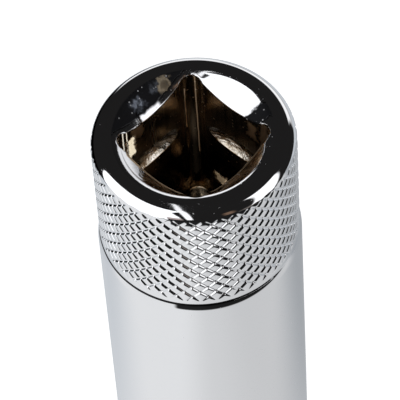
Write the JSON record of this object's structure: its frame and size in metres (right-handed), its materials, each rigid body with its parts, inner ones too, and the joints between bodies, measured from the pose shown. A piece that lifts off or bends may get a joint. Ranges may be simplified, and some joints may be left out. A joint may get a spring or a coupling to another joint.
{
  "type": "spark plug socket",
  "caption": "Deep thin-walled spark plug socket: a square drive with a knurled grip, a smooth barrel, a twelve-point plug end and a ring magnet that holds the plug.",
  "frame": {"origin": "centre of the plug end, on the surface that the socket stands on", "axes": "+Z along the socket's axis towards the drive end, +X and +Y square to the flats of the drive"},
  "size_m": [0.018, 0.018, 0.065],
  "materials": {
    "chrome_steel": "bright chrome plate on polished steel",
    "magnet_nickel": "satin nickel plate on a sintered magnet"
  },
  "bodies": {
    "root": {"socket_body": "chrome_steel", "ring_magnet": "magnet_nickel"}
  },
  "joints": []
}
